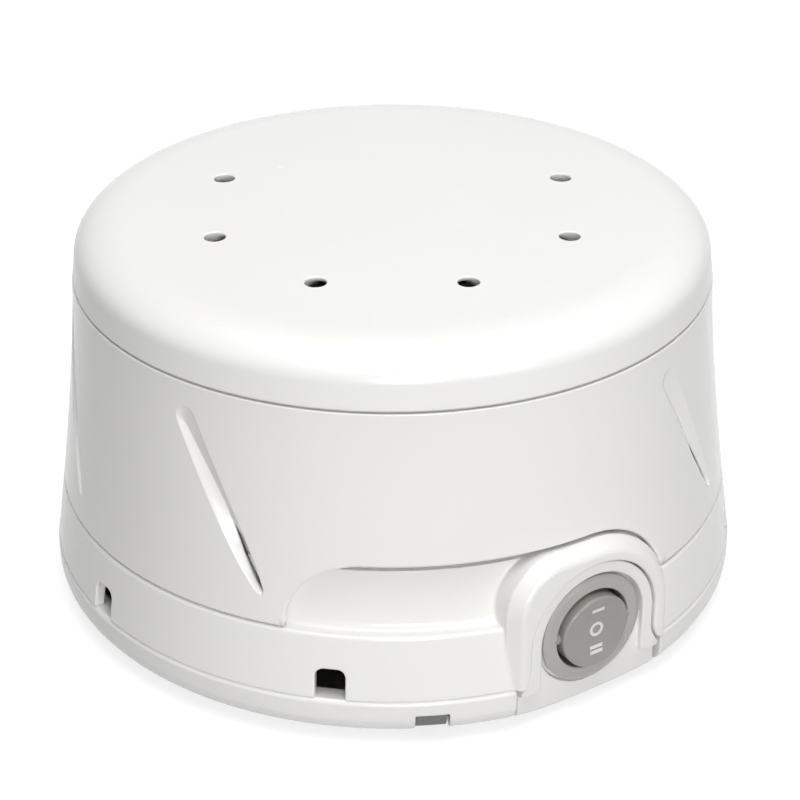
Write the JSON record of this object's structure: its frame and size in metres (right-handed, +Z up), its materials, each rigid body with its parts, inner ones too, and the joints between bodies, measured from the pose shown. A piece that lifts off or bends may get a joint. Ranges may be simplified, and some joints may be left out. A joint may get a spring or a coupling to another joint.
{
  "type": "white noise sound machine",
  "caption": "Round fan-driven sound machine with a turning cap and a turning grooved collar that tune the sound, and a rocker switch in a pod on its front.",
  "frame": {"origin": "centre of the machine's turning axis, on the plane that the feet rest on", "axes": "+Z up along the axis that the cap, the collar and the fan turn about; -Y faces the middle of the front, where no groove lies; the switch faces 33.5 degrees from -Y towards +X"},
  "size_m": [0.1464, 0.1464, 0.0825],
  "materials": {
    "cap": "glossy warm white moulding",
    "shell": "glossy warm white moulding",
    "housing": "glossy warm white moulding",
    "plate": "glossy warm white moulding",
    "panel": "glossy warm white moulding",
    "drum": "plain moulded",
    "felt": "pressed felt",
    "bezel": "fine satin, grey",
    "rocker": "fine satin, mid grey",
    "marks": "white print",
    "contacts": "tinned brass",
    "fan": "plain moulded",
    "steel": "plain bright steel",
    "shaft": "ground",
    "rotor": "turned, cast cage",
    "core": "stacked electrical steel",
    "copper": "bare copper",
    "bobbin": "moulded nylon",
    "winding": "enamelled copper wire",
    "fuse": "bright can",
    "bearing": "oiled sintered bronze",
    "washer": "phenolic",
    "rubber": "soft grey rubber",
    "feet": "soft grey rubber",
    "gland": "white nylon",
    "nut": "grey nylon",
    "red_lead": "insulated wire",
    "black_lead": "insulated wire"
  },
  "bodies": {
    "base": {"bottom_plate": "plate", "base_housing": "housing", "sound_drum": "drum", "felt_ring": "felt", "switch_panel": "panel", "switch_body": "bezel", "switch_terminals": "contacts", "stator_core": "core", "shading_rings": "copper", "coil_bobbin": "bobbin", "coil_winding": "winding", "thermal_fuse": "fuse", "upper_bracket": "steel", "lower_bracket": "steel", "upper_bearing": "bearing", "lower_bearing": "bearing", "thrust_washers": "washer", "motor_screws": "steel", "rubber_grommets": "rubber", "mount_screws": "steel", "plate_screws": "steel", "drum_screws": "steel", "rubber_feet": "feet", "cord_gland": "gland", "gland_nut": "nut", "motor_leads": "red_lead", "supply_leads": "black_lead"},
    "collar": {"outer_shell": "shell"},
    "cap": {"top_cap": "cap"},
    "rocker": {"switch_rocker": "rocker", "switch_marks": "marks"},
    "rotor": {"fan_wheel": "fan", "fan_clip": "steel", "motor_shaft": "shaft", "motor_rotor": "rotor"}
  },
  "joints": [
    {"name": "cap_turn", "type": "hinge", "parent": "base", "child": "cap", "pos_m": [0, 0, 0.07], "axis": [0, 0, 1], "continuous": true},
    {"name": "collar_turn", "type": "hinge", "parent": "base", "child": "collar", "pos_m": [0, 0, 0.045], "axis": [0, 0, 1], "range_deg": [0, 33]},
    {"name": "rocker_tilt", "type": "hinge", "parent": "base", "child": "rocker", "pos_m": [0.03864, -0.05837, 0.0179], "axis": [0.8339, 0.5519, 0], "range_deg": [-12, 12]},
    {"name": "fan_spin", "type": "hinge", "parent": "base", "child": "rotor", "pos_m": [0, 0, 0.03], "axis": [0, 0, 1], "continuous": true}
  ]
}
